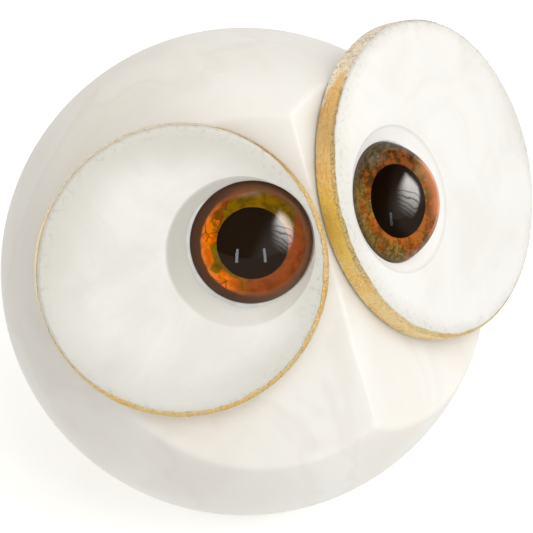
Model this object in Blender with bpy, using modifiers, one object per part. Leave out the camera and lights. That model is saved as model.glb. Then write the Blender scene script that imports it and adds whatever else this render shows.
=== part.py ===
"""Owl figurine: an alabaster ball with a round eye disc glued on each of its two ground flats.

Each disc has a gilded edge and carries a domed glass eye, set off-centre in a shallow dish.
The owl looks along -Y and stands on a felt pad; +Z is up, and the origin is the middle of the
pad's underside. Left and right are the owl's own, so the right disc lies at -X. Metres.
"""

from collections import namedtuple
from math import asin, cos, pi, radians, sin, sqrt

import bmesh
import bpy

MM = 0.001
GAP = 0.3 * MM                  # clearance between neighbouring pieces, filled by glue

# the ball and what it stands on
BALL_RADIUS = 60.0 * MM
BASE_RADIUS = 27.0 * MM         # flat ground under the ball
BASE_CHAMFER = 0.6 * MM
PAD_RADIUS = 25.0 * MM
PAD_THICKNESS = 1.5 * MM

# the two flats: each turned away from straight ahead and tipped back
FLAT_YAW = radians(25.75)
FLAT_TIP = radians(26.4)
DISC_THICKNESS = 6.0 * MM
FACE_DISTANCE = 48.2 * MM       # ball centre to a disc's front face
DISC_RISE = 6.9 * MM            # disc centre above the foot of the flat's normal

# the gilded edge
LEAF_THICKNESS = 0.3 * MM       # leaf with its gesso and size
FRONT_CHAMFER = 0.9 * MM
BACK_CHAMFER = 0.5 * MM

# the dish and the seat in a disc; depths are below the disc's face
DISH_RADIUS = 18.2 * MM
DISH_SLOPE = 4.5 * MM           # width of the rounded slope round the dish's floor
DISH_DEPTH = 2.2 * MM
SEAT_RADIUS = 15.9 * MM
SEAT_DEPTH = 4.5 * MM

# the glass eye; its dome is part of a ball whose centre lies under the disc's face
DOME_RADIUS = 15.5 * MM
DOME_DEPTH = 6.5 * MM
GIRDLE_RADIUS = 14.9 * MM       # straight edge below the dome
GLASS_BASE = 3.3 * MM           # depth of the glass's flat underside
POCKET_RADIUS = 12.9 * MM       # hollow under the glass, where iris and pupil lie
POCKET_DEPTH = 1.6 * MM
IRIS_THICKNESS = 0.8 * MM
PUPIL_RADIUS = 6.8 * MM

# the setting cement: a plate under the glass with a lip round its edge
BED_LIP = 1.9 * MM              # depth of the lip's top edge
BED_PLATE = 0.6 * MM

# flat facets that the round shapes are turned in
BALL_SEGMENTS = 60
BALL_STEPS = 26                 # from the top to the base
DISC_SEGMENTS = 60
EYE_SEGMENTS = 44
DOME_STEPS = 10
DISH_STEPS = 6
PAD_SEGMENTS = 40

# per side: mirror sign, disc radius, and where the disc's centre, the dish and the eye lie.
# out is measured away from the owl's middle, and inward back towards it from the disc's centre.
Side = namedtuple("Side", "name sign radius out dish_inward dish_up eye_inward eye_up")
SIDES = (
    Side("right", -1, 35.3 * MM, 19.5 * MM, 13.9 * MM, 3.8 * MM, 17.0 * MM, 5.7 * MM),
    Side("left", 1, 39.2 * MM, 24.0 * MM, 15.6 * MM, 2.3 * MM, 16.9 * MM, 2.4 * MM),
)

BASE_HEIGHT = PAD_THICKNESS + GAP
BALL_HEIGHT = BASE_HEIGHT + sqrt(BALL_RADIUS ** 2 - BASE_RADIUS ** 2)
FLAT_DISTANCE = FACE_DISTANCE - DISC_THICKNESS - GAP


def clear_scene():
    for obj in list(bpy.data.objects):
        bpy.data.objects.remove(obj, do_unlink=True)


def new_collection(name):
    collection = bpy.data.collections.new(name)
    bpy.context.scene.collection.children.link(collection)
    return collection


def make_material(name, colour, roughness, metallic=0.0, transmission=0.0):
    material = bpy.data.materials.new(name)
    material.use_nodes = True
    shader = material.node_tree.nodes["Principled BSDF"]
    shader.inputs["Base Color"].default_value = (*colour, 1.0)
    shader.inputs["Roughness"].default_value = roughness
    shader.inputs["Metallic"].default_value = metallic
    shader.inputs["Transmission Weight"].default_value = transmission
    return material


def place(obj, collection, parent=None, location=(0, 0, 0)):
    collection.objects.link(obj)
    obj.parent = parent
    obj.location = location
    return obj


def turned(name, profile, segments, closed=False):
    """Turn a list of (radius, height) points about Z; the list runs down the outer side."""
    mesh = bpy.data.meshes.new(name)
    bm = bmesh.new()
    verts = [bm.verts.new((radius, 0, height)) for radius, height in profile]
    for first, second in zip(verts, verts[1:]):
        bm.edges.new((first, second))
    if closed:
        bm.edges.new((verts[-1], verts[0]))
    bm.to_mesh(mesh)
    bm.free()
    obj = bpy.data.objects.new(name, mesh)
    screw = obj.modifiers.new("turn", "SCREW")
    screw.axis = "Z"
    screw.angle = 2 * pi
    screw.steps = segments
    screw.render_steps = segments
    screw.use_merge_vertices = True
    screw.merge_threshold = 0.00001
    screw.use_smooth_shade = True
    return obj


def box(name, size):
    mesh = bpy.data.meshes.new(name)
    bm = bmesh.new()
    bmesh.ops.create_cube(bm, size=1.0)
    bmesh.ops.scale(bm, vec=size, verts=bm.verts)
    bm.to_mesh(mesh)
    bm.free()
    return bpy.data.objects.new(name, mesh)


def cut(obj, cutter):
    """Take the cutter away from the object and hide it."""
    cutter.display_type = "WIRE"
    cutter.hide_render = True
    boolean = obj.modifiers.new("cut_" + cutter.name, "BOOLEAN")
    boolean.operation = "DIFFERENCE"
    boolean.solver = "EXACT"
    boolean.object = cutter


def arc(radius, centre_height, start, end, steps):
    """Points on a circle about (0, centre_height), from one angle to another off the Z axis."""
    angles = [start + (end - start) * i / steps for i in range(steps + 1)]
    return [(radius * sin(a), centre_height + radius * cos(a)) for a in angles]


def make_ball(parts, material):
    """The ball, turned whole with its ground base; the flats are cut afterwards."""
    base_angle = pi - asin(BASE_RADIUS / BALL_RADIUS)
    profile = arc(BALL_RADIUS, BALL_HEIGHT, 0, base_angle, BALL_STEPS)[:-1]
    profile[0] = (0, profile[0][1])
    profile.append((BASE_RADIUS + BASE_CHAMFER / 2, BASE_HEIGHT + BASE_CHAMFER / 2))
    profile.append((BASE_RADIUS - BASE_CHAMFER / 2, BASE_HEIGHT))
    profile.append((0, BASE_HEIGHT))
    ball = place(turned("body_ball", profile, BALL_SEGMENTS), parts)
    ball.data.materials.append(material)
    return ball


def make_pad(parts, material):
    profile = [(0, PAD_THICKNESS), (PAD_RADIUS, PAD_THICKNESS), (PAD_RADIUS, 0), (0, 0)]
    pad = place(turned("base_pad", profile, PAD_SEGMENTS), parts)
    pad.data.materials.append(material)


def side_frame(side, parts):
    """An empty at the ball's centre whose +Z is the flat's normal and whose +X points left."""
    frame = bpy.data.objects.new(side.name + "_frame", None)
    place(frame, parts, location=(0, 0, BALL_HEIGHT))
    frame.rotation_euler = (pi / 2 - FLAT_TIP, 0, side.sign * FLAT_YAW)
    return frame


def cut_flat(ball, side, frame, cutters):
    """Grind the flat: everything past the flat's plane goes."""
    depth = BALL_RADIUS - FLAT_DISTANCE + 2 * MM
    width = 2 * BALL_RADIUS
    cutter = box(side.name + "_flat_cutter", (width, width, depth))
    place(cutter, cutters, frame, (0, 0, FLAT_DISTANCE + depth / 2))
    cut(ball, cutter)


def rim_profile(radius, inset):
    """The disc's outer side, front to back, moved in by the same distance all along."""
    grow = (sqrt(2) - 1) * inset
    front = FRONT_CHAMFER + grow
    back = BACK_CHAMFER + grow
    edge = radius - inset
    return [
        (edge - front, 0),
        (edge, -front),
        (edge, back - DISC_THICKNESS),
        (edge - back, -DISC_THICKNESS),
    ]


def dish_profile():
    """The dish's cutter: its slope starts steep at the rim and runs out flat on the floor."""
    profile = [(0, MM), (DISH_RADIUS, MM)]
    for i in range(DISH_STEPS + 1):
        share = i / DISH_STEPS
        profile.append((DISH_RADIUS - DISH_SLOPE * share, -DISH_DEPTH * sin(pi / 2 * share)))
    profile.append((0, -DISH_DEPTH))
    return profile


def make_disc(side, frame, centre, dish, eye, parts, cutters, material):
    inset = LEAF_THICKNESS + GAP
    profile = [(0, 0), *rim_profile(side.radius, inset), (0, -DISC_THICKNESS)]
    disc = place(turned(side.name + "_disc", profile, DISC_SEGMENTS), parts, frame, centre)
    disc.data.materials.append(material)
    dish_cutter = turned(side.name + "_dish_cutter", dish_profile(), EYE_SEGMENTS)
    cut(disc, place(dish_cutter, cutters, frame, dish))
    seat = [(0, MM), (SEAT_RADIUS, MM), (SEAT_RADIUS, -SEAT_DEPTH), (0, -SEAT_DEPTH)]
    seat_cutter = turned(side.name + "_seat_cutter", seat, EYE_SEGMENTS)
    cut(disc, place(seat_cutter, cutters, frame, eye))


def make_rim_leaf(side, frame, centre, parts, material):
    """The gilding as a skin round the disc's edge and over its chamfers."""
    profile = rim_profile(side.radius, 0) + rim_profile(side.radius, LEAF_THICKNESS)[::-1]
    leaf = turned(side.name + "_rim_leaf", profile, DISC_SEGMENTS, closed=True)
    place(leaf, parts, frame, centre)
    leaf.data.materials.append(material)


def make_lens(side, frame, eye, parts, material):
    """The glass dome, hollowed from below for the iris and the pupil."""
    profile = arc(DOME_RADIUS, -DOME_DEPTH, 0, asin(GIRDLE_RADIUS / DOME_RADIUS), DOME_STEPS)
    profile[0] = (0, profile[0][1])
    profile.append((GIRDLE_RADIUS, -GLASS_BASE))
    profile.append((POCKET_RADIUS, -GLASS_BASE))
    profile.append((POCKET_RADIUS, -POCKET_DEPTH))
    profile.append((0, -POCKET_DEPTH))
    lens = place(turned(side.name + "_eye_lens", profile, EYE_SEGMENTS), parts, frame, eye)
    lens.data.materials.append(material)


def make_iris_and_pupil(side, frame, eye, parts, iris_material, pupil_material):
    top = -POCKET_DEPTH - GAP
    bottom = top - IRIS_THICKNESS
    outer = POCKET_RADIUS - GAP
    inner = PUPIL_RADIUS + GAP
    ring = [(outer, top), (outer, bottom), (inner, bottom), (inner, top)]
    iris = turned(side.name + "_eye_iris", ring, EYE_SEGMENTS, closed=True)
    place(iris, parts, frame, eye)
    iris.data.materials.append(iris_material)
    button = [(0, top), (PUPIL_RADIUS, top), (PUPIL_RADIUS, bottom), (0, bottom)]
    pupil = turned(side.name + "_eye_pupil", button, EYE_SEGMENTS)
    place(pupil, parts, frame, eye)
    pupil.data.materials.append(pupil_material)


def make_bed(side, frame, eye, parts, material):
    """The cement cup that holds the glass: a plug behind the iris, a plate and a lip."""
    plug_top = -POCKET_DEPTH - IRIS_THICKNESS - 2 * GAP
    plug_radius = POCKET_RADIUS - GAP
    plate_top = -GLASS_BASE - GAP
    plate_bottom = plate_top - BED_PLATE
    lip_inside = GIRDLE_RADIUS + GAP
    lip_outside = SEAT_RADIUS - GAP
    profile = [
        (0, plug_top),
        (plug_radius, plug_top),
        (plug_radius, plate_top),
        (lip_inside, plate_top),
        (lip_inside, -BED_LIP),
        (lip_outside, -BED_LIP),
        (lip_outside, plate_bottom),
        (0, plate_bottom),
    ]
    bed = turned(side.name + "_eye_bed", profile, EYE_SEGMENTS)
    place(bed, parts, frame, eye)
    bed.data.materials.append(material)


def main():
    clear_scene()
    parts = new_collection("owl_figurine")
    cutters = new_collection("cutters")
    ball_stone = make_material("ball_alabaster", (0.86, 0.84, 0.79), 0.22)
    disc_stone = make_material("disc_alabaster", (0.88, 0.87, 0.84), 0.45)
    gold = make_material("gold_leaf", (0.83, 0.53, 0.16), 0.38, metallic=1.0)
    glass = make_material("eye_glass", (1.0, 1.0, 1.0), 0.02, transmission=1.0)
    amber = make_material("iris_enamel", (0.42, 0.13, 0.02), 0.3)
    black = make_material("pupil_enamel", (0.012, 0.009, 0.007), 0.2)
    cement = make_material("setting_cement", (0.74, 0.77, 0.72), 0.4)
    felt = make_material("pad_felt", (0.62, 0.58, 0.5), 0.95)

    ball = make_ball(parts, ball_stone)
    make_pad(parts, felt)
    for side in SIDES:
        frame = side_frame(side, parts)
        centre = (side.sign * side.out, DISC_RISE, FACE_DISTANCE)
        dish_x = side.sign * (side.out - side.dish_inward)
        eye_x = side.sign * (side.out - side.eye_inward)
        dish = (dish_x, DISC_RISE + side.dish_up, FACE_DISTANCE)
        eye = (eye_x, DISC_RISE + side.eye_up, FACE_DISTANCE)
        cut_flat(ball, side, frame, cutters)
        make_disc(side, frame, centre, dish, eye, parts, cutters, disc_stone)
        make_rim_leaf(side, frame, centre, parts, gold)
        make_lens(side, frame, eye, parts, glass)
        make_iris_and_pupil(side, frame, eye, parts, amber, black)
        make_bed(side, frame, eye, parts, cement)


main()
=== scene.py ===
"""The looks of the alabaster owl figurine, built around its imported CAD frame.

Every piece of the frame is rebuilt here in its place as a finer mesh, with a procedural
material. Metres; the owl looks along -Y, +Z is up, and left and right are the owl's own. A
disc's own space has its origin on the disc's face, +Z along the flat's normal and +X towards
the owl's left, and an eye's own space is the same with its origin over the eye's middle.
"""

from collections import namedtuple
from math import asin, cos, pi, radians, sin, sqrt

import bmesh
import bpy
import numpy as np
from mathutils import Euler, Matrix, Vector, noise


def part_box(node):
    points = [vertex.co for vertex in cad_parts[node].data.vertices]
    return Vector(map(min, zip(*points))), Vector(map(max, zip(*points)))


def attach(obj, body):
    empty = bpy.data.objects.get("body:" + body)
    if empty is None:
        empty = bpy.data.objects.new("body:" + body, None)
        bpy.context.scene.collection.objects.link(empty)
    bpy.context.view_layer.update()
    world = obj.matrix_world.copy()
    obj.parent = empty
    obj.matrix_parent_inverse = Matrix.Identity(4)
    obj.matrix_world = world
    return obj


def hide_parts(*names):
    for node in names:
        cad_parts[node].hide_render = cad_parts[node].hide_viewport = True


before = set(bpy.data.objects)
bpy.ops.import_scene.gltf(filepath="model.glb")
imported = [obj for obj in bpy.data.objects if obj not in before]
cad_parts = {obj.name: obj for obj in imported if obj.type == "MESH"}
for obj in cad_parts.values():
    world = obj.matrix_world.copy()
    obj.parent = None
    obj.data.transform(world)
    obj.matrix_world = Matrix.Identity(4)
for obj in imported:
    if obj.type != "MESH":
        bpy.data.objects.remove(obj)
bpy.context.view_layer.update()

MM = 0.001

# sizes that the CAD model sets too; depths are below the disc's face
GAP = 0.3 * MM                  # clearance between neighbouring pieces, filled by glue
FLAT_YAW = radians(25.75)       # each flat is turned away from straight ahead
FLAT_TIP = radians(26.4)        # and tipped back
FACE_DISTANCE = 48.2 * MM       # ball centre to a disc's front face
DISC_THICKNESS = 6.0 * MM
DISC_RISE = 6.9 * MM            # disc centre above the foot of the flat's normal
BASE_RADIUS = 27.0 * MM         # flat ground under the ball
FRONT_CHAMFER = 0.9 * MM
BACK_CHAMFER = 0.5 * MM
DISH_RADIUS = 18.2 * MM
DISH_SLOPE = 4.5 * MM           # width of the rounded slope round the dish's floor
DISH_DEPTH = 2.2 * MM
SEAT_RADIUS = 15.9 * MM
DOME_RADIUS = 15.5 * MM
DOME_DEPTH = 6.5 * MM           # depth of the dome's centre
GIRDLE_RADIUS = 14.9 * MM       # straight edge below the dome
GLASS_BASE = 3.3 * MM           # depth of the glass's flat underside
PUPIL_RADIUS = 6.8 * MM

# finer sizes that are set here alone
FLAT_EASE = 0.9 * MM            # how softly a flat meets the ball
RIDGE_EASE = 0.5 * MM           # how softly the two flats meet
BASE_EASE = 0.3 * MM            # half the bevel round the ball's base
PAD_EASE = 0.35 * MM            # rounding of the felt's edges
LEAF_DEPTH = 0.1 * MM           # from the leaf's surface in to the stone of the rim
LEAF_THICKNESS = 0.05 * MM
LEAF_OVERLAP = 0.9 * MM         # how far the leaf may lie on the disc's face
SEAT_PLAY = 0.1 * MM            # room between the glass and its seat
PAINT_DEPTH = 2.3 * MM          # depth of the painted iris's front
PAINT_THICKNESS = 0.12 * MM
PAINT_LAP = 0.4 * MM            # how far the iris reaches under the pupil

# out is measured away from the owl's middle, and inward back towards it from the disc's centre
Side = namedtuple("Side", "name sign radius out dish_inward dish_up eye_inward eye_up")
SIDES = (
    Side("right", -1, 35.3 * MM, 19.5 * MM, 13.9 * MM, 3.8 * MM, 17.0 * MM, 5.7 * MM),
    Side("left", 1, 39.2 * MM, 24.0 * MM, 15.6 * MM, 2.3 * MM, 16.9 * MM, 2.4 * MM),
)

# camera: a long lens, above the owl and towards its right side
CAMERA_AZIMUTH = radians(-32.72)
CAMERA_ELEVATION = radians(33.18)
CAMERA_DISTANCE = 1.8
CAMERA_LENS = 494.0             # millimetres, on a sensor as wide as below
CAMERA_SENSOR = 36.0
AIM_RIGHT = 5.43 * MM           # where the view's middle lies, seen from the ball's centre
AIM_UP = 1.2 * MM

BALL_LOW, BALL_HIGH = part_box("body_ball")
BALL_RADIUS = (BALL_HIGH.x - BALL_LOW.x) / 2
BALL_CENTRE = Vector((0, 0, BALL_LOW.z + sqrt(BALL_RADIUS ** 2 - BASE_RADIUS ** 2)))
FLAT_DISTANCE = FACE_DISTANCE - DISC_THICKNESS - GAP


# ---------------------------------------------------------------- geometry helpers


def side_matrix(side):
    """From a side's own space, with its origin at the ball's centre, to the world."""
    turn = Euler((pi / 2 - FLAT_TIP, 0, side.sign * FLAT_YAW)).to_matrix().to_4x4()
    return Matrix.Translation(BALL_CENTRE) @ turn


def disc_place(side):
    """From a disc's own space to the world."""
    return side_matrix(side) @ Matrix.Translation((side.sign * side.out, DISC_RISE, FACE_DISTANCE))


def dish_offset(side):
    """The dish's centre, seen from the disc's centre."""
    return Vector((-side.sign * side.dish_inward, side.dish_up, 0))


def eye_offset(side):
    """The eye's centre, seen from the disc's centre."""
    return Vector((-side.sign * side.eye_inward, side.eye_up, 0))


def mesh_object(name, bm):
    """An object of the bmesh, which is used up."""
    mesh = bpy.data.meshes.new(name)
    bmesh.ops.recalc_face_normals(bm, faces=bm.faces)
    bm.to_mesh(mesh)
    bm.free()
    obj = bpy.data.objects.new(name, mesh)
    bpy.context.scene.collection.objects.link(obj)
    return obj


def plant(obj, place):
    """Keep each vertex's own-space position for the materials, then move the mesh to its place."""
    mesh = obj.data
    own = np.empty(len(mesh.vertices) * 3)
    mesh.vertices.foreach_get("co", own)
    mesh.attributes.new("own", "FLOAT_VECTOR", "POINT").data.foreach_set("vector", own)
    mesh.transform(place)


def smooth(obj, angle):
    """Shade smooth, apart from edges sharper than an angle in degrees."""
    obj.data.shade_smooth()
    obj.data.set_sharp_from_angle(angle=radians(angle))


def arc(radius, height, start, end, steps, offset=0.0):
    """Points (radius, height) on a circle about (offset, height), angles measured off +Z."""
    angles = [start + (end - start) * i / steps for i in range(steps + 1)]
    return [(offset + radius * sin(a), height + radius * cos(a)) for a in angles]


def turned(profile, steps, closed=False):
    """A bmesh of the (radius, height) profile turned about Z."""
    bm = bmesh.new()
    verts = [bm.verts.new((radius, 0, height)) for radius, height in profile]
    edges = [bm.edges.new(pair) for pair in zip(verts, verts[1:])]
    if closed:
        edges.append(bm.edges.new((verts[-1], verts[0])))
    bmesh.ops.spin(bm, geom=verts + edges, axis=(0, 0, 1), cent=(0, 0, 0), steps=steps, angle=2 * pi)
    bmesh.ops.remove_doubles(bm, verts=bm.verts, dist=0.002 * MM)
    return bm


def tube(columns):
    """A bmesh of a band of quads through the columns of points, the last joined to the first."""
    bm = bmesh.new()
    made = [[bm.verts.new(point) for point in column] for column in columns]
    for near, far in zip(made, made[1:] + made[:1]):
        for i in range(len(near) - 1):
            bm.faces.new((near[i], near[i + 1], far[i + 1], far[i]))
    return bm


def carve(obj, cutter):
    """Cut the cutter's shape out of the mesh, and drop the cutter."""
    modifier = obj.modifiers.new("carve", "BOOLEAN")
    modifier.operation = "DIFFERENCE"
    modifier.solver = "EXACT"
    modifier.object = cutter
    graph = bpy.context.evaluated_depsgraph_get()
    mesh = bpy.data.meshes.new_from_object(obj.evaluated_get(graph))
    obj.modifiers.clear()
    obj.data = mesh
    bpy.data.objects.remove(cutter)


def clamped(value, low=0.0, high=1.0):
    return max(low, min(high, value))


def show(piece, material, slot, *nodes):
    """Give a piece its material and its body, and hide the CAD nodes it stands for. The slot is not used.
    """
    piece.data.materials.clear()
    piece.data.materials.append(material)
    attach(piece, "root")
    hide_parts(*nodes)


# ---------------------------------------------------------------- material helpers


def node(tree, kind, inputs=None, **props):
    """Add a node; an input is a value or the socket to link."""
    made = tree.nodes.new(kind)
    for key, value in props.items():
        setattr(made, key, value)
    for key, value in (inputs or {}).items():
        if isinstance(value, bpy.types.NodeSocket):
            tree.links.new(value, made.inputs[key])
        else:
            made.inputs[key].default_value = value
    return made


def principled(name):
    """A new material, its node tree and its shader."""
    material = bpy.data.materials.new(name)
    material.use_nodes = True
    tree = material.node_tree
    return material, tree, tree.nodes["Principled BSDF"]


def set_inputs(tree, shader, **values):
    """Set or link the shader's inputs, named with underscores for spaces."""
    for key, value in values.items():
        socket = shader.inputs[key.replace("_", " ")]
        if isinstance(value, bpy.types.NodeSocket):
            tree.links.new(value, socket)
        else:
            socket.default_value = value


def own_point(tree):
    """The position in the piece's own space."""
    return node(tree, "ShaderNodeAttribute", attribute_name="own").outputs["Vector"]


def value_of(tree, name):
    """A value painted on the mesh."""
    return node(tree, "ShaderNodeAttribute", attribute_name=name).outputs["Fac"]


def vector(tree, operation, first, second=(0, 0, 0), output=0):
    """The outcome of a vector operation."""
    made = node(tree, "ShaderNodeVectorMath", {0: first, 1: second}, operation=operation)
    return made.outputs[output]


def along(tree, point, direction):
    """How far a point lies in a direction."""
    return vector(tree, "DOT_PRODUCT", point, direction, "Value")


def length_of(tree, point):
    return vector(tree, "LENGTH", point, output="Value")


def flattened(tree, point):
    """The point's place across the piece's axis."""
    return vector(tree, "MULTIPLY", point, (1, 1, 0))


def noise_value(tree, point, scale, detail=3.0, roughness=0.5, distortion=0.0):
    inputs = {"Vector": point, "Scale": scale, "Detail": detail}
    inputs |= {"Roughness": roughness, "Distortion": distortion}
    return node(tree, "ShaderNodeTexNoise", inputs).outputs["Fac"]


def ramp(tree, value, low, high, to_low=0.0, to_high=1.0):
    """Map low..high smoothly to to_low..to_high, and hold beyond."""
    inputs = {"Value": value, "From Min": low, "From Max": high, "To Min": to_low, "To Max": to_high}
    made = node(tree, "ShaderNodeMapRange", inputs, interpolation_type="SMOOTHSTEP")
    return made.outputs["Result"]


def math(tree, operation, first, second=0.0):
    """The outcome of an operation on numbers."""
    return node(tree, "ShaderNodeMath", {0: first, 1: second}, operation=operation).outputs[0]


def product(tree, *values):
    result = values[0]
    for value in values[1:]:
        result = math(tree, "MULTIPLY", result, value)
    return result


def away_from(tree, value, middle):
    """How far a value is from the middle one."""
    return math(tree, "ABSOLUTE", math(tree, "SUBTRACT", value, middle))


def centred(tree, value, size):
    """A value of 0 to 1 brought to lie round zero, times a size."""
    return product(tree, math(tree, "SUBTRACT", value, 0.5), size)


def mix(tree, share, first, second):
    """The first colour where the share is 0, and the second where it is 1."""
    made = node(tree, "ShaderNodeMix", data_type="RGBA")
    for index, value in ((0, share), (6, first), (7, second)):
        if isinstance(value, bpy.types.NodeSocket):
            tree.links.new(value, made.inputs[index])
        else:
            made.inputs[index].default_value = value if index == 0 else (*value, 1.0)
    return made.outputs[2]


def bump(tree, height, distance, strength=1.0, normal=None):
    """A normal for the relief of a height, on top of another normal if one is given."""
    inputs = {"Height": height, "Distance": distance, "Strength": strength}
    if normal is not None:
        inputs["Normal"] = normal
    return node(tree, "ShaderNodeBump", inputs).outputs["Normal"]


# ---------------------------------------------------------------- materials


def ball_alabaster():
    """Polished cream alabaster: milky clouds, warm blotches, faint veins, light deep in the stone."""
    cream, shade = (0.845, 0.837, 0.80), (0.785, 0.768, 0.715)
    warm, vein_tone = (0.76, 0.71, 0.64), (0.70, 0.66, 0.60)
    material, tree, shader = principled("ball_alabaster")
    point = own_point(tree)
    clouds = noise_value(tree, point, 16.0, detail=4.0, roughness=0.55, distortion=0.6)
    blotches = noise_value(tree, point, 38.0, distortion=0.6)
    grain = noise_value(tree, point, 1400.0, detail=2.0)
    colour = mix(tree, ramp(tree, clouds, 0.3, 0.7), cream, shade)
    colour = mix(tree, ramp(tree, blotches, 0.42, 0.75, 0.0, 0.45), colour, warm)
    vein = ramp(tree, away_from(tree, clouds, 0.47), 0.0, 0.035, 0.22, 0.0)
    colour = mix(tree, vein, colour, vein_tone)
    set_inputs(
        tree, shader,
        Base_Color=colour,
        Roughness=0.3,
        IOR=1.52,
        Specular_IOR_Level=0.28,
        Subsurface_Weight=0.35,
        Subsurface_Radius=(1.0, 0.9, 0.75),
        Subsurface_Scale=6.0 * MM,
        Normal=bump(tree, grain, 0.02 * MM),
    )
    return material


def disc_rim(tree, side, point, reach):
    """The share of the edge's grey: a band along the rim, broader on the disc's inner side."""
    inward = along(tree, point, Vector((-side.sign, 0.0, 0.0)))
    band = ramp(tree, inward, 0.0, side.radius, 4.0 * MM, 8.5 * MM)
    depth = math(tree, "DIVIDE", math(tree, "SUBTRACT", side.radius, reach), band)
    return ramp(tree, depth, 0.1, 1.0, 0.8, 0.0)


def right_painted_shade(tree, side, point, reach):
    """The share of the right disc's painted shade, a broad grey: its outer part, and most of all up and to
    the left.
    """
    broad = ramp(tree, reach, side.radius * 0.58, side.radius * 0.95)
    slant = along(tree, point, Vector((0.8, 0.6, 0.0)))
    return product(tree, broad, ramp(tree, slant, -side.radius, side.radius, 0.55, 1.0))


def right_dish_shade(tree, in_dish, from_dish, colour):
    """Painted shade in the dish: a little greyer than the face, and darkest on the dish's outer side,
    where the eye's dome shades it.
    """
    # painted shade: a grey over the dish, and a darker tone on its outer side
    dish_shade_grey, dark = (0.68, 0.67, 0.61), (0.60, 0.59, 0.53)
    colour = mix(tree, product(tree, in_dish, 0.35), colour, dish_shade_grey)
    outer = along(tree, from_dish, Vector((-1.0, 0.3, 0.0)))
    share = product(tree, in_dish, ramp(tree, outer, 0.0, DISH_RADIUS))
    return mix(tree, share, colour, dark)


def disc_colour(tree, side, point, clouds):
    """The disc's white with the grey of its rim, painted shade on the right disc and in its dish, painted
    light in the left dish, and the rim's share.
    """
    tones = {
        "right": ((0.83, 0.82, 0.785), (0.77, 0.755, 0.71)),
        "left": ((0.79, 0.78, 0.75), (0.74, 0.73, 0.695)),
    }
    shade_grey, rim_grey, painted_light_dish = (0.62, 0.61, 0.55), (0.66, 0.65, 0.59), (0.91, 0.90, 0.875)
    across = flattened(tree, point)
    reach = math(tree, "ADD", length_of(tree, across), centred(tree, clouds, 7.0 * MM))
    rim = disc_rim(tree, side, point, reach)
    from_dish = vector(tree, "SUBTRACT", across, dish_offset(side))
    in_dish = ramp(tree, length_of(tree, from_dish), DISH_RADIUS - MM, DISH_RADIUS, 1.0, 0.0)
    colour = mix(tree, ramp(tree, clouds, 0.38, 0.66), *tones[side.name])
    if side.name == "right":
        # painted shade: a broad grey over the right disc's outer part
        colour = mix(tree, right_painted_shade(tree, side, point, reach), colour, shade_grey)
        colour = mix(tree, rim, colour, rim_grey)
        # painted shade in the right disc's dish
        return right_dish_shade(tree, in_dish, from_dish, colour), rim
    colour = mix(tree, rim, colour, rim_grey)
    # painted light: the left dish is whiter than the face, to lift the shade of its walls and the glass
    return mix(tree, in_dish, colour, painted_light_dish), rim


def disc_alabaster(side):
    """Honed white alabaster, greyer and speckled towards its edge, with sugary grain."""
    speck_grey = (0.45, 0.44, 0.40)
    material, tree, shader = principled(side.name + "_disc_alabaster")
    point = own_point(tree)
    clouds = noise_value(tree, point, 42.0, detail=5.0, roughness=0.6, distortion=0.8)
    mottle = noise_value(tree, point, 700.0, roughness=0.7)
    grain = noise_value(tree, point, 900.0, detail=4.0, roughness=0.6)
    colour, rim = disc_colour(tree, side, point, clouds)
    speck = product(tree, ramp(tree, mottle, 0.5, 0.72, 0.0, 0.8), rim)
    set_inputs(
        tree, shader,
        Base_Color=mix(tree, speck, colour, speck_grey),
        Roughness=0.42,
        IOR=1.52,
        Subsurface_Weight=0.3,
        Subsurface_Radius=(1.0, 0.95, 0.85),
        Subsurface_Scale=4.0 * MM,
        Normal=bump(tree, grain, 0.03 * MM),
    )
    return material


def leaf_metal(tree, drift, crinkle):
    """The unworn leaf: yellow drifting to pale, a deeper yellow as painted highlight and darker towards
    the top as painted shade where the mesh carries them, browned in spots.
    """
    deep, pale = (1.0, 0.70, 0.26), (0.99, 0.82, 0.46)
    highlight_gold, top_shade_tone, brown = (1.0, 0.80, 0.24), (0.56, 0.37, 0.17), (0.62, 0.38, 0.12)
    highlight = value_of(tree, "highlight")
    colour = mix(tree, ramp(tree, drift, 0.35, 0.6), deep, pale)
    # painted highlight: a bright deep yellow
    colour = mix(tree, highlight, colour, highlight_gold)
    # painted shade: the leaf darker towards the top
    colour = mix(tree, value_of(tree, "top_shade"), colour, top_shade_tone)
    spared = ramp(tree, highlight, 0.0, 1.0, 1.0, 0.3)
    browned = product(tree, ramp(tree, crinkle, 0.46, 0.64, 0.0, 0.5), spared)
    return mix(tree, browned, colour, brown)


def leaf_creases(tree, point, rub):
    """The share of the dark creases: thin wandering lines, missing where the leaf is smooth."""
    stretched = vector(tree, "MULTIPLY", point, (1, 1, 0.4))
    wrinkles = noise_value(tree, stretched, 700.0, detail=4.0, roughness=0.65, distortion=2.5)
    line = ramp(tree, away_from(tree, wrinkles, 0.5), 0.0, 0.022, 0.6, 0.0)
    return product(tree, line, ramp(tree, rub, 0.38, 0.55))


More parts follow.
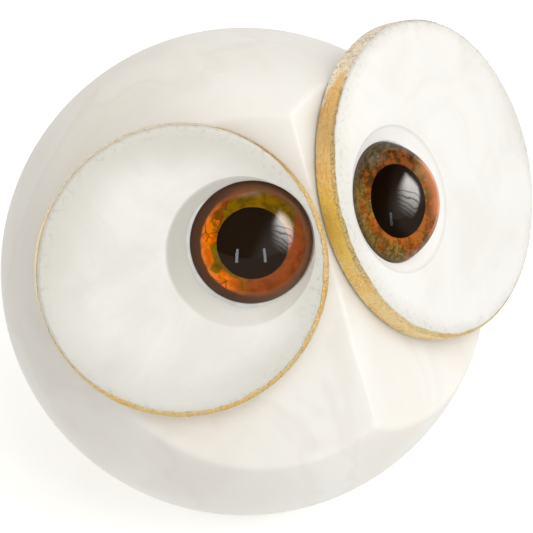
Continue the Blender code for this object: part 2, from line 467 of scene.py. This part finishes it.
def gold_leaf():
    """Imitation leaf: crinkled and creased, dull and pitted on the chamfer, rubbed pale in places."""
    crease_tone, dull_tone, pit_tone = (0.48, 0.28, 0.09), (0.46, 0.37, 0.22), (0.14, 0.10, 0.06)
    champagne, bare = (0.88, 0.81, 0.68), (0.66, 0.60, 0.48)
    material, tree, shader = principled("gold_leaf")
    point = own_point(tree)
    worn = value_of(tree, "worn")
    chamfer = value_of(tree, "chamfer")
    drift = noise_value(tree, point, 110.0, detail=4.0, roughness=0.6, distortion=0.5)
    crinkle = noise_value(tree, point, 1500.0, detail=6.0, roughness=0.65, distortion=1.2)
    rub = noise_value(tree, point, 700.0, detail=5.0, roughness=0.7, distortion=0.8)
    grit = noise_value(tree, point, 2600.0, roughness=0.7)
    colour = leaf_metal(tree, drift, crinkle)
    colour = mix(tree, leaf_creases(tree, point, rub), colour, crease_tone)
    dull = product(tree, chamfer, ramp(tree, grit, 0.35, 0.6, 0.35, 0.9))
    colour = mix(tree, dull, colour, dull_tone)
    colour = mix(tree, worn, colour, mix(tree, ramp(tree, rub, 0.4, 0.65), champagne, bare))
    hollows = math(tree, "MAXIMUM", grit, math(tree, "SUBTRACT", rub, 0.06))
    pitted = math(tree, "MAXIMUM", chamfer, worn)
    pits = product(tree, ramp(tree, hollows, 0.54, 0.64, 0.0, 0.75), pitted)
    colour = mix(tree, pits, colour, pit_tone)
    dents = bump(tree, rub, 0.4 * MM, 0.8)
    set_inputs(
        tree, shader,
        Base_Color=colour,
        Metallic=ramp(tree, worn, 0.0, 1.0, 1.0, 0.6),
        Roughness=ramp(tree, drift, 0.3, 0.7, 0.22, 0.36),
        Normal=bump(tree, crinkle, 0.3 * MM, 1.0, dents),
    )
    return material


def eye_glass():
    """Clear glass, less mirror-like towards its edge than at its crown."""
    material, tree, shader = principled("eye_glass")
    tree.nodes.remove(shader)
    reach = length_of(tree, flattened(tree, own_point(tree)))
    bends = node(tree, "ShaderNodeBsdfRefraction", {"Roughness": 0.0, "IOR": 1.5})
    mirrors = node(tree, "ShaderNodeBsdfAnisotropic", {"Roughness": 0.0})
    slope = product(tree, node(tree, "ShaderNodeFresnel", {"IOR": 1.15}).outputs[0], 0.5)
    share = math(tree, "ADD", slope, ramp(tree, reach, 8.5 * MM, 11.0 * MM, 0.18, 0.03))
    inputs = {0: share, 1: bends.outputs[0], 2: mirrors.outputs[0]}
    both = node(tree, "ShaderNodeMixShader", inputs)
    tree.links.new(both.outputs[0], tree.nodes["Material Output"].inputs["Surface"])
    return material


def iris_shape(tree, point):
    """The distance from the eye's axis, and the direction round it."""
    flat = flattened(tree, point)
    return length_of(tree, flat), vector(tree, "NORMALIZE", flat)


def matt_paint(material, tree, shader, colour):
    """Give a material of the painted eye its colour; the gloss is the glass's own."""
    set_inputs(tree, shader, Base_Color=colour, Roughness=0.5, Specular_IOR_Level=0.0)
    return material


def olive_patches(tree, reach, spoke, broad, fringe):
    """The share of olive in the right iris: ragged round the pupil, missing at the lower inner side."""
    ragged = math(tree, "ADD", math(tree, "ADD", reach, centred(tree, broad, 12.0 * MM)), fringe)
    upper_inner = along(tree, spoke, Vector((0.7, 0.7, 0.0)))
    ragged = math(tree, "SUBTRACT", ragged, ramp(tree, upper_inner, 0.5, 1.0, 0.0, 1.8 * MM))
    lower_inner = along(tree, spoke, Vector((0.7, -0.7, 0.0)))
    near = ramp(tree, ragged, 8.0 * MM, 8.8 * MM, 1.0, 0.0)
    return product(tree, near, ramp(tree, lower_inner, 0.3, 0.7, 1.0, 0.0))


def smoky_patch(tree, reach, spoke, patch):
    """The share of the dark smoke at the right iris's upper outer side."""
    upper_outer = along(tree, spoke, Vector((-0.6, 0.8, 0.0)))
    smoky = product(tree, ramp(tree, upper_outer, 0.7, 0.95), ramp(tree, patch, 0.42, 0.52, 0.2, 0.9))
    return product(tree, smoky, ramp(tree, reach, 9.0 * MM, 10.5 * MM, 1.0, 0.0))


def fine_cracks(tree, point, broad):
    """The share of a few thin cracks in the paint."""
    inputs = {"Vector": point, "Scale": 330.0}
    cells = node(tree, "ShaderNodeTexVoronoi", inputs, feature="DISTANCE_TO_EDGE")
    line = ramp(tree, cells.outputs["Distance"], 0.0, 0.05, 0.8, 0.0)
    return product(tree, line, ramp(tree, broad, 0.56, 0.6))


def right_iris_paint():
    """Brown inside, with amber on its outer side as painted light that the dome focuses there, olive round
    the pupil, with a dark brown rim.
    """
    brown_light, brown_dark = (0.37, 0.082, 0.014), (0.24, 0.055, 0.010)
    amber_light, amber_dark = (1.0, 0.25, 0.001), (0.72, 0.14, 0.001)
    olive_light, olive_dark = (0.25, 0.14, 0.001), (0.13, 0.08, 0.001)
    rim_inner, rim_outer = (0.24, 0.11, 0.05), (0.12, 0.038, 0.011)
    smoke_tone, crack_tone = (0.17, 0.06, 0.003), (0.10, 0.02, 0.0)
    material, tree, shader = principled("right_iris_paint")
    point = own_point(tree)
    reach, spoke = iris_shape(tree, point)
    painted_light_side = along(tree, spoke, Vector((-0.97, -0.2, 0.0)))
    patch = noise_value(tree, point, 420.0, detail=5.0, roughness=0.68, distortion=0.3)
    broad = noise_value(tree, point, 120.0, distortion=0.2)
    fringe = centred(tree, patch, 6.0 * MM)
    brown = mix(tree, ramp(tree, patch, 0.4, 0.65), brown_light, brown_dark)
    amber = mix(tree, ramp(tree, patch, 0.4, 0.6), amber_light, amber_dark)
    olive = mix(tree, ramp(tree, patch, 0.42, 0.62), olive_light, olive_dark)
    # painted light: amber on the outer side, for the light the dome focuses there
    colour = mix(tree, ramp(tree, painted_light_side, 0.3, 0.75), brown, amber)
    colour = mix(tree, smoky_patch(tree, reach, spoke, patch), colour, smoke_tone)
    colour = mix(tree, olive_patches(tree, reach, spoke, broad, fringe), colour, olive)
    colour = mix(tree, fine_cracks(tree, point, broad), colour, crack_tone)
    start = ramp(tree, painted_light_side, -0.5, 0.6, 9.0 * MM, 10.2 * MM)
    end = ramp(tree, painted_light_side, -0.5, 0.6, 13.0 * MM, 10.9 * MM)
    rim = ramp(tree, math(tree, "ADD", reach, product(tree, fringe, 0.15)), start, end)
    colour = mix(tree, rim, colour, mix(tree, ramp(tree, painted_light_side, -0.6, 0.6), rim_inner, rim_outer))
    return matt_paint(material, tree, shader, colour)


def iris_flecks(tree, reach, spoke, patch, broad, outer):
    """The share of the left iris's flecks: dashes along the spokes and dots, none on the outer side."""
    along_spoke = node(tree, "ShaderNodeCombineXYZ", {2: product(tree, reach, 380.0)}).outputs[0]
    fan = vector(tree, "ADD", vector(tree, "MULTIPLY", spoke, (13, 13, 0)), along_spoke)
    streaks = noise_value(tree, fan, 1.0, detail=4.0, roughness=0.7)
    dashes = product(tree, ramp(tree, streaks, 0.53, 0.59, 0.0, 0.65), ramp(tree, broad, 0.34, 0.46))
    dots = ramp(tree, patch, 0.60, 0.66, 0.0, 0.6)
    return product(tree, math(tree, "MAXIMUM", dashes, dots), ramp(tree, outer, 0.55, 0.85, 1.0, 0.0))


def left_iris_paint():
    """Amber near the pupil and olive outside, mottled dark above, with a painted red glow at the outer
    side for light passing through the glass.
    """
    amber_light, amber_dark = (0.56, 0.165, 0.02), (0.25, 0.08, 0.013)
    olive_light, olive_dark = (0.42, 0.26, 0.055), (0.20, 0.12, 0.022)
    upper_amber_light, upper_amber_dark = (0.34, 0.10, 0.02), (0.07, 0.035, 0.01)
    upper_olive_light, upper_olive_dark = (0.22, 0.14, 0.05), (0.07, 0.045, 0.015)
    painted_glow_tone, fleck_tone, rim_tone = (1.0, 0.36, 0.16), (0.08, 0.05, 0.007), (0.26, 0.17, 0.08)
    material, tree, shader = principled("left_iris_paint")
    point = own_point(tree)
    reach, spoke = iris_shape(tree, point)
    outer = along(tree, spoke, Vector((0.966, -0.26, 0.0)))
    upper = ramp(tree, along(tree, spoke, Vector((0.34, 0.94, 0.0))), 0.2, 0.85)
    patch = noise_value(tree, point, 620.0, detail=5.0, roughness=0.72, distortion=0.4)
    broad = noise_value(tree, point, 190.0, distortion=0.2)
    mottle = ramp(tree, patch, 0.44, 0.56)
    amber = mix(tree, ramp(tree, patch, 0.42, 0.58), amber_light, amber_dark)
    amber = mix(tree, upper, amber, mix(tree, mottle, upper_amber_light, upper_amber_dark))
    olive = mix(tree, ramp(tree, patch, 0.42, 0.58), olive_light, olive_dark)
    olive = mix(tree, upper, olive, mix(tree, mottle, upper_olive_light, upper_olive_dark))
    uneven_reach = math(tree, "ADD", reach, centred(tree, broad, 20.0 * MM))
    colour = mix(tree, ramp(tree, uneven_reach, 7.6 * MM, 9.4 * MM), amber, olive)
    # painted light: a red glow at the outer side, for light passing through the glass
    painted_glow = product(tree, ramp(tree, outer, 0.82, 0.96), ramp(tree, reach, 7.2 * MM, 9.6 * MM))
    colour = mix(tree, painted_glow, colour, painted_glow_tone)
    colour = mix(tree, iris_flecks(tree, reach, spoke, patch, broad, outer), colour, fleck_tone)
    colour = mix(tree, ramp(tree, reach, 12.6 * MM, 13.6 * MM), colour, rim_tone)
    return matt_paint(material, tree, shader, colour)


def pupil_paint():
    """Brown black, faintly clouded."""
    black, brown = (0.005, 0.002, 0.0005), (0.007, 0.003, 0.001)
    material, tree, shader = principled("pupil_paint")
    haze = noise_value(tree, own_point(tree), 260.0)
    return matt_paint(material, tree, shader, mix(tree, ramp(tree, haze, 0.3, 0.7), black, brown))


def setting_cement():
    """The milky, faintly green compound round the glass."""
    milk, shade = (0.80, 0.81, 0.77), (0.72, 0.72, 0.66)
    material, tree, shader = principled("setting_cement")
    cloud = noise_value(tree, own_point(tree), 300.0, detail=4.0, roughness=0.6)
    set_inputs(
        tree, shader,
        Base_Color=mix(tree, ramp(tree, cloud, 0.35, 0.7), milk, shade),
        Roughness=0.12,
        Subsurface_Weight=0.5,
        Subsurface_Radius=(1.0, 1.0, 0.9),
        Subsurface_Scale=2.0 * MM,
        Normal=bump(tree, cloud, 0.1 * MM),
    )
    return material


def pad_felt():
    """Beige felt with paler matted places."""
    light, dark, matted_tone = (0.66, 0.62, 0.54), (0.48, 0.44, 0.37), (0.74, 0.71, 0.64)
    material, tree, shader = principled("pad_felt")
    point = own_point(tree)
    fluff = noise_value(tree, point, 900.0, detail=6.0, roughness=0.7)
    matted = noise_value(tree, point, 160.0, detail=4.0, roughness=0.6)
    colour = mix(tree, ramp(tree, fluff, 0.3, 0.7), light, dark)
    colour = mix(tree, ramp(tree, matted, 0.45, 0.7, 0.0, 0.4), colour, matted_tone)
    set_inputs(
        tree, shader,
        Base_Color=colour,
        Roughness=0.95,
        Sheen_Weight=0.4,
        Normal=bump(tree, fluff, 0.3 * MM),
    )
    return material


def floor_paper():
    """White paper that glows a little, so that the floor has no visible end."""
    white, fibre_tone = (0.90, 0.90, 0.89), (0.88, 0.88, 0.87)
    material, tree, shader = principled("floor_paper")
    point = node(tree, "ShaderNodeTexCoord").outputs["Object"]
    fibre = noise_value(tree, point, 90.0)
    set_inputs(
        tree, shader,
        Base_Color=mix(tree, ramp(tree, fibre, 0.3, 0.7), white, fibre_tone),
        Roughness=0.8,
        Emission_Color=(1.0, 1.0, 1.0, 1.0),
        Emission_Strength=0.36,
    )
    return material


# ---------------------------------------------------------------- the object


def soft_min(first, second, width):
    """The smaller of two values, with the change from one to the other rounded off."""
    near = max(0.0, 1.0 - abs(first - second) / width)
    return min(first, second) - near * near * width / 4


def ground_down(point):
    """Where a point of the round ball ends up once the flats are ground, their edges eased."""
    least_lean, far_off = 0.3, 1.0
    ray = point - BALL_CENTRE
    reach = ray.length
    flats = []
    for side in SIDES:
        normal = side_matrix(side).to_3x3() @ Vector((0, 0, 1))
        lean = normal.dot(ray) / reach
        flats.append(FLAT_DISTANCE / lean if lean > least_lean else far_off)
    ground = soft_min(flats[0], flats[1], RIDGE_EASE)
    return BALL_CENTRE + ray * (soft_min(reach, ground, FLAT_EASE) / reach)


def make_ball(material):
    """The turned ball with its ground base and the two flats."""
    rows, steps = 200, 400
    base_angle = pi - asin(BASE_RADIUS / BALL_RADIUS)
    profile = arc(BALL_RADIUS, BALL_CENTRE.z, 0, base_angle, rows)[:-1]
    profile.append((BASE_RADIUS + BASE_EASE, BALL_LOW.z + BASE_EASE))
    profile.append((BASE_RADIUS - BASE_EASE, BALL_LOW.z))
    profile.append((0, BALL_LOW.z))
    bm = turned(profile, steps)
    for vert in bm.verts:
        vert.co = ground_down(vert.co)
    ball = mesh_object("ball", bm)
    plant(ball, Matrix.Identity(4))
    smooth(ball, 32)
    show(ball, material, "ball_stone", "body_ball")


def make_pad(material):
    """The round felt pad, with soft edges."""
    rows, steps = 5, 160
    low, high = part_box("base_pad")
    inset = high.x - PAD_EASE
    profile = [(0, high.z)]
    profile += arc(PAD_EASE, high.z - PAD_EASE, 0, pi / 2, rows, inset)
    profile += arc(PAD_EASE, low.z + PAD_EASE, pi / 2, pi, rows, inset)
    profile.append((0, low.z))
    pad = mesh_object("pad", turned(profile, steps))
    plant(pad, Matrix.Identity(4))
    smooth(pad, 40)
    show(pad, material, "felt", "base_pad")


def rim_line(radius):
    """The disc's edge from the back face, over the wall and the front chamfer, onto the face."""
    ease = 0.12 * MM
    turn = FRONT_CHAMFER
    return [
        (radius - BACK_CHAMFER, -DISC_THICKNESS),
        (radius, BACK_CHAMFER - DISC_THICKNESS),
        (radius, -turn - ease),
        (radius - ease * 0.5, -turn + ease * 0.5),
        (radius - turn + ease * 0.5, -ease * 0.5),
        (radius - turn - ease, 0),
    ]


def dish_cutter(side):
    """The dish's shape: a flat floor with a rounded slope, open at the disc's face."""
    rows, steps, over = 16, 192, MM
    profile = [(0, over), (DISH_RADIUS, over)]
    for i in range(rows + 1):
        share = i / rows
        profile.append((DISH_RADIUS - DISH_SLOPE * share, -DISH_DEPTH * sin(pi / 2 * share)))
    profile.append((0, -DISH_DEPTH))
    cutter = mesh_object("dish_cutter", turned(profile, steps))
    cutter.data.transform(Matrix.Translation(dish_offset(side)))
    return cutter


def seat_cutter(side):
    """The bored seat under the glass, open at the disc's face."""
    steps, over = 192, MM
    radius = GIRDLE_RADIUS + SEAT_PLAY
    depth = -GLASS_BASE - SEAT_PLAY
    profile = [(0, over), (radius, over), (radius, depth), (0, depth)]
    cutter = mesh_object("seat_cutter", turned(profile, steps))
    cutter.data.transform(Matrix.Translation(eye_offset(side)))
    return cutter


def make_disc(side, material):
    """The disc's stone, with its dish and the seat for the eye."""
    steps = 256
    profile = [(0, -DISC_THICKNESS), *rim_line(side.radius - LEAF_DEPTH), (0, 0)]
    disc = mesh_object(side.name + "_disc_stone", turned(profile, steps))
    carve(disc, dish_cutter(side))
    carve(disc, seat_cutter(side))
    plant(disc, disc_place(side))
    smooth(disc, 30)
    show(disc, material, "disc_stone", side.name + "_disc")


def uneven(angle, turns, seed):
    """A repeatable uneven value of about -1 to 1 round a circle."""
    ring = Vector((cos(angle), sin(angle), seed))
    return noise.fractal(ring * turns, 0.8, 2.1, 6, noise_basis="PERLIN_ORIGINAL")


def leaf_end(side, angle):
    """How far past the wall the leaf reaches, unevenly: little on the outer side and at the top."""
    inward = -side.sign * cos(angle)
    thinning, reach = (0.35, 1.05) if side.name == "left" else (0.8, 1.75)
    share = clamped(inward * 0.75 + 0.5 - thinning * sin(angle))
    broad = 0.35 * uneven(angle, 3.0, side.sign)
    fine = 0.22 * uneven(angle, 22.0, 4.0 + side.sign)
    return (0.1 + reach * share + broad + fine * (0.4 + 0.6 * share)) * MM


def leaf_relief(place):
    """How far the leaf stands out at a place: its crinkles, and how deep its broad dents are."""
    crinkle_size, crinkle_depth, settled = 1300, 0.05 * MM, 0.035 * MM
    dent_size, dent_depth, dent_start = 260, 0.05 * MM, 0.25
    crinkle = crinkle_depth * noise.fractal(place * crinkle_size, 0.9, 2.0, 3) - settled
    dent = dent_depth * max(0.0, noise.noise(place * dent_size) - dent_start)
    return crinkle, dent


def leaf_column(side, angle, line, distances):
    """The leaf's points at one angle, from the back face to its ragged front edge.

    The line's third point is the wall's front corner, and the leaf is lifted clear of the stone
    in front of it.
    """
    rows, wall_corner, front, front_lift = 34, 2, -MM, 0.09 * MM
    full = distances[-1]
    line_end = min(distances[wall_corner] + leaf_end(side, angle), full + LEAF_OVERLAP)
    places = np.linspace(0, line_end, rows)
    radii = np.interp(places, distances, line[:, 0]) - np.maximum(0, places - full)
    heights = np.interp(places, distances, line[:, 1])
    column = []
    for radius, height in zip(radii, heights):
        place = Vector((cos(angle) * radius, sin(angle) * radius, height))
        crinkle, dent = leaf_relief(place)
        radius += crinkle - dent
        if height > front:
            height += crinkle + front_lift
        column.append((radius * cos(angle), radius * sin(angle), height))
    return column


def make_leaf(side, material):
    """The gilding: a thin crinkled skin over the wall and chamfer, with a ragged front edge."""
    steps = 1400
    line = np.array(rim_line(side.radius))
    lengths = np.hypot(*np.diff(line, axis=0).T)
    distances = np.concatenate([[0], np.cumsum(lengths)])
    columns = [leaf_column(side, 2 * pi * k / steps, line, distances) for k in range(steps)]
    leaf = mesh_object(side.name + "_leaf", tube(columns))
    paint_leaf(leaf, side)
    solid = leaf.modifiers.new("thickness", "SOLIDIFY")
    solid.thickness = LEAF_THICKNESS
    solid.offset = -1
    plant(leaf, disc_place(side))
    smooth(leaf, 60)
    show(leaf, material, "gold_leaf", side.name + "_rim_leaf")


def leaf_wear(side, place):
    """How worn and chamfered the leaf is at a place, and how much painted highlight and painted shade on
    top it gets, each from 0 to 1.
    """
    chamfer_fade = 0.25 * MM
    lean = Vector((place.x, place.y)).normalized()
    spots = noise.fractal(Vector((place.x, place.y, place.z * 2)) * 120, 1.0, 2.0, 4)
    high = lean.y * 0.9 + lean.x * 0.35 * side.sign
    worn = clamped((high - 0.62 + 0.25 * spots) * 8)
    # painted shade: the leaf darker towards the top
    top_shade = 0.75 * clamped((lean.y - 0.46 + 0.12 * spots) * 3.2)
    highlight, dulled = 0.0, 0.35
    if side.name == "left":
        # painted highlight: a bright deep yellow on the left leaf's inner side, towards the other disc
        away = 1.0 + 0.985 * lean.x - 0.17 * lean.y - 0.03 * spots
        highlight = clamped(1.1 - away * 22)
        dulled = clamped(1.1 + 2.6 * lean.y, 0.2)
    chamfer = dulled * clamped(1.0 + (place.z + FRONT_CHAMFER) / chamfer_fade)
    return worn, chamfer, highlight, top_shade


def paint_leaf(leaf, side):
    """Keep the leaf's wear, painted highlight and painted shade on the mesh, for its material."""
    mesh = leaf.data
    wear = [leaf_wear(side, vert.co) for vert in mesh.vertices]
    for name, values in zip(("worn", "chamfer", "highlight", "top_shade"), zip(*wear)):
        mesh.attributes.new(name, "FLOAT", "POINT").data.foreach_set("value", values)


def make_lens(side, place, glass):
    """The clear eye: a dome on a short straight girdle, flat underneath."""
    rows, steps, round_edge = 56, 192, 0.25 * MM
    profile = arc(DOME_RADIUS, -DOME_DEPTH, 0, asin(GIRDLE_RADIUS / DOME_RADIUS), rows)
    profile.append((GIRDLE_RADIUS, -GLASS_BASE + round_edge))
    profile.append((GIRDLE_RADIUS - round_edge, -GLASS_BASE))
    profile.append((0, -GLASS_BASE))
    lens = mesh_object(side.name + "_lens", turned(profile, steps))
    plant(lens, place)
    smooth(lens, 35)
    show(lens, glass, "eye_glass", side.name + "_eye_lens")


def make_iris(side, place, paint):
    """The painted ring inside the glass."""
    steps, play = 128, 0.05 * MM
    outer = GIRDLE_RADIUS - play
    inner = PUPIL_RADIUS - PAINT_LAP
    back = -PAINT_DEPTH - PAINT_THICKNESS
    ring = [(outer, -PAINT_DEPTH), (outer, back), (inner, back), (inner, -PAINT_DEPTH)]
    iris = mesh_object(side.name + "_iris", turned(ring, steps, closed=True))
    plant(iris, place)
    smooth(iris, 20)
    show(iris, paint, "iris_enamel", side.name + "_eye_iris")


def make_pupil(side, place, paint):
    """The dark centre, a button a little proud of the iris."""
    steps, rise = 128, 0.1 * MM
    front = rise - PAINT_DEPTH
    back = -PAINT_DEPTH - PAINT_THICKNESS
    button = [(0, front), (PUPIL_RADIUS - rise, front), (PUPIL_RADIUS, -PAINT_DEPTH)]
    button += [(PUPIL_RADIUS, back), (0, back)]
    pupil = mesh_object(side.name + "_pupil", turned(button, steps))
    plant(pupil, place)
    smooth(pupil, 30)
    show(pupil, paint, "pupil_enamel", side.name + "_eye_pupil")


def bed_column(side, angle):
    """The bead's outline at one angle, as (radius, height): over its top, then back underneath."""
    rows, hug, bulge, bite = 8, 0.02 * MM, 0.1 * MM, 0.12 * MM
    lip, foot, lip_swell, spread = -2.15 * MM, -3.2 * MM, 0.2 * MM, 0.3 * MM
    swell = 0.5 + 0.5 * uneven(angle, 2.2, side.sign)
    top = lip + lip_swell * swell
    outer = SEAT_RADIUS + spread * swell
    drop = -DISH_DEPTH - bite - top
    outline = []
    for i in range(rows + 1):
        share = i / rows
        radius = GIRDLE_RADIUS + hug + (outer - GIRDLE_RADIUS) * share
        outline.append((radius, top + drop * share + bulge * sin(pi * share)))
    return outline + [(outer, foot), (GIRDLE_RADIUS - MM, foot), outline[0]]


def make_bed(side, place, cement):
    """The compound squeezed up round the glass, as a low uneven bead."""
    steps = 240
    columns = []
    for k in range(steps):
        angle = 2 * pi * k / steps
        outline = bed_column(side, angle)
        columns.append([(radius * cos(angle), radius * sin(angle), height) for radius, height in outline])
    bm = tube(columns)
    bmesh.ops.remove_doubles(bm, verts=bm.verts, dist=0.001 * MM)
    bed = mesh_object(side.name + "_bed", bm)
    plant(bed, place)
    smooth(bed, 40)
    show(bed, cement, "setting_cement", side.name + "_eye_bed")


# ---------------------------------------------------------------- stage, light and camera


def camera_axes():
    """Unit vectors to the right, up and back of the camera."""
    azimuth, elevation = CAMERA_AZIMUTH, CAMERA_ELEVATION
    back = Vector((sin(azimuth) * cos(elevation), -cos(azimuth) * cos(elevation), sin(elevation)))
    right = Vector((cos(azimuth), sin(azimuth), 0))
    return right, back.cross(right), back


def make_camera():
    """The photograph's view."""
    right, up, back = camera_axes()
    place = BALL_CENTRE + right * AIM_RIGHT + up * AIM_UP + back * CAMERA_DISTANCE
    data = bpy.data.cameras.new("camera")
    data.lens = CAMERA_LENS
    data.sensor_width = CAMERA_SENSOR
    data.clip_start = 0.1
    camera = bpy.data.objects.new("camera", data)
    bpy.context.scene.collection.objects.link(camera)
    camera.matrix_world = Matrix.LocRotScale(place, back.to_track_quat("Z", "Y"), None)
    bpy.context.scene.camera = camera


def soft_light(name, direction, distance, size, power, colour, roll=0.0):
    """An area light in a direction given as right, up and back of the camera, facing the ball."""
    right, up, back = camera_axes()
    toward = (right * direction[0] + up * direction[1] + back * direction[2]).normalized()
    data = bpy.data.lights.new(name, "AREA")
    data.shape = "RECTANGLE"
    data.size, data.size_y = size
    data.energy = power
    data.color = colour
    light = bpy.data.objects.new(name, data)
    bpy.context.scene.collection.objects.link(light)
    turn = toward.to_track_quat("Z", "Y") @ Euler((0, 0, radians(roll))).to_quaternion()
    light.matrix_world = Matrix.LocRotScale(BALL_CENTRE + toward * distance, turn, None)
    return light


def light_panel(light):
    """The light's node tree, and the place on its panel, from 0 to 1 each way."""
    light.data.use_nodes = True
    tree = light.data.node_tree
    return tree, node(tree, "ShaderNodeNewGeometry").outputs["Parametric"]


def across_and_up(tree, place):
    """The two parts of a place on a panel."""
    split = node(tree, "ShaderNodeSeparateXYZ", {0: place}).outputs
    return split["X"], split["Y"]


def pleated_cloth(light):
    """Make the light a gabled window behind gathered cloth, with thin folds in its lower half."""
    tree, place = light_panel(light)
    across, upward = across_and_up(tree, place)
    warp = noise_value(tree, vector(tree, "MULTIPLY", place, (1.5, 3.0, 0.0)), 1.0, detail=2.0)
    swing = math(tree, "ADD", product(tree, upward, 58.0), product(tree, warp, 14.0))
    folds = math(tree, "SINE", math(tree, "ADD", swing, product(tree, across, 5.0)))
    dark = product(tree, ramp(tree, folds, 0.3, 1.0, 0.0, 0.7), ramp(tree, upward, 0.45, 0.68, 1.0, 0.0))
    gable = product(tree, away_from(tree, across, 0.55), 0.7)
    roof = ramp(tree, math(tree, "ADD", upward, gable), 0.78, 1.04, 1.0, 0.0)
    sides = product(tree, ramp(tree, across, 0.0, 0.5, 0.05, 1.0), ramp(tree, across, 0.82, 1.0, 1.0, 0.0))
    fade = product(tree, roof, sides, ramp(tree, upward, 0.0, 0.7, 0.03, 1.0))
    bounced = node(tree, "ShaderNodeLightPath").outputs["Diffuse Depth"]
    direct = ramp(tree, bounced, 0.0, 1.0, 1.0, 0.4)
    strength = product(tree, fade, direct, math(tree, "SUBTRACT", 1.0, dark))
    tree.links.new(strength, tree.nodes["Emission"].inputs["Strength"])


def feathered(light):
    """Let the light fade out towards its edges."""
    tree, place = light_panel(light)
    across, upward = across_and_up(tree, place)
    sideways = ramp(tree, away_from(tree, across, 0.5), 0.1, 0.5, 1.0, 0.0)
    lengthways = ramp(tree, away_from(tree, upward, 0.5), 0.05, 0.5, 1.0, 0.0)
    strength = product(tree, sideways, lengthways)
    tree.links.new(strength, tree.nodes["Emission"].inputs["Strength"])


def make_world():
    """The room: soft and brighter to one side for the stone, and its own picture for what is glossy.

    The gold sees it dim on the camera's right and warm and bright on its left, and the glass
    sees it much darker. The camera itself sees it plain white.
    """
    dim, bright = (0.42, 0.36, 0.29), (1.45, 1.25, 0.96)
    far_wall, near_table, far_table = (0.88, 0.87, 0.85), (0.85, 0.80, 0.72), (0.90, 0.89, 0.87)
    dark_wall, pale_wall = (0.07, 0.045, 0.026), (0.20, 0.17, 0.15)
    dark_table, dark_beyond = (0.14, 0.11, 0.08), (0.16, 0.155, 0.15)
    shaded_side, lit_side, plain = (0.63, 0.612, 0.58), (1.0, 1.0, 1.0), (0.97, 0.97, 0.96)
    world = bpy.data.worlds.new("studio")
    world.use_nodes = True
    tree = world.node_tree
    right, up, back = camera_axes()
    direction = node(tree, "ShaderNodeTexCoord").outputs["Generated"]
    across = along(tree, direction, (right - up * 0.5).normalized())
    beyond = ramp(tree, along(tree, direction, back), -0.9, -0.65, 1.0, 0.0)
    leftward = ramp(tree, along(tree, direction, right), -0.5, 0.4, 1.0, 0.0)
    height = node(tree, "ShaderNodeSeparateXYZ", {0: direction}).outputs["Z"]
    low = ramp(tree, height, -0.02, 0.02, 1.0, 0.0)
    room = mix(tree, beyond, mix(tree, leftward, dim, bright), far_wall)
    seen = mix(tree, low, room, mix(tree, beyond, near_table, far_table))
    wall = mix(tree, ramp(tree, across, 0.1, 0.6), dark_wall, pale_wall)
    mirrored = mix(tree, beyond, mix(tree, low, wall, dark_table), dark_beyond)
    soft = mix(tree, ramp(tree, across, -1.0, 1.0), shaded_side, lit_side)
    path = node(tree, "ShaderNodeLightPath").outputs
    glossy = mix(tree, path["Is Singular Ray"], seen, mirrored)
    lit = mix(tree, path["Is Glossy Ray"], soft, glossy)
    shown = mix(tree, path["Is Camera Ray"], lit, plain)
    tree.links.new(shown, tree.nodes["Background"].inputs["Color"])
    bpy.context.scene.world = world


def make_floor():
    """A wide pale sheet under the owl, which casts neither light nor shadow on it."""
    half_width = 3.0
    bm = bmesh.new()
    bmesh.ops.create_grid(bm, x_segments=8, y_segments=8, size=half_width)
    floor = mesh_object("floor", bm)
    floor.data.materials.append(floor_paper())
    floor.visible_diffuse = False
    floor.visible_glossy = False
    floor.visible_shadow = False


def make_lights():
    """A key and a front light for the stone, and a window, an overhead panel and two strips for gloss."""
    from_window, square = (0.86, 0.28, 0.42), (0.9, 0.9)
    daylight, warm = (1.0, 0.99, 0.98), (1.0, 0.96, 0.92)
    white, bluish = (1.0, 1.0, 1.0), (0.82, 0.92, 1.0)
    key = soft_light("key", from_window, distance=1.3, size=square, power=2.6, colour=daylight)
    key.visible_glossy = False
    ahead = (0.25, 0.42, 0.87)
    front = soft_light("front", ahead, distance=1.5, size=square, power=6.2, colour=daylight)
    front.visible_glossy = False
    window = soft_light("window", from_window, 1.25, size=(1.15, 1.7), power=25.0, colour=warm, roll=-50)
    window.visible_diffuse = False
    pleated_cloth(window)
    above = (-0.05, 1.0, -0.03)
    overhead = soft_light("overhead", above, distance=1.6, size=(1.4, 0.9), power=8.0, colour=white)
    overhead.visible_diffuse = False
    feathered(overhead)
    for sideways in (-0.36, 0.45):
        below = (sideways, -0.45, 0.8)
        strip = soft_light("strip", below, distance=2.2, size=(0.18, 0.95), power=0.8, colour=bluish)
        strip.visible_diffuse = False


def main():
    """Build the owl, then the room it is seen in."""
    make_ball(ball_alabaster())
    make_pad(pad_felt())
    gold, glass, pupil, cement = gold_leaf(), eye_glass(), pupil_paint(), setting_cement()
    irises = right_iris_paint(), left_iris_paint()
    for side, iris in zip(SIDES, irises):
        make_disc(side, disc_alabaster(side))
        make_leaf(side, gold)
        eye_place = disc_place(side) @ Matrix.Translation(eye_offset(side))
        make_lens(side, eye_place, glass)
        make_iris(side, eye_place, iris)
        make_pupil(side, eye_place, pupil)
        make_bed(side, eye_place, cement)
    make_floor()
    make_world()
    make_lights()
    bpy.context.scene.view_settings.view_transform = "Standard"
    make_camera()


main()
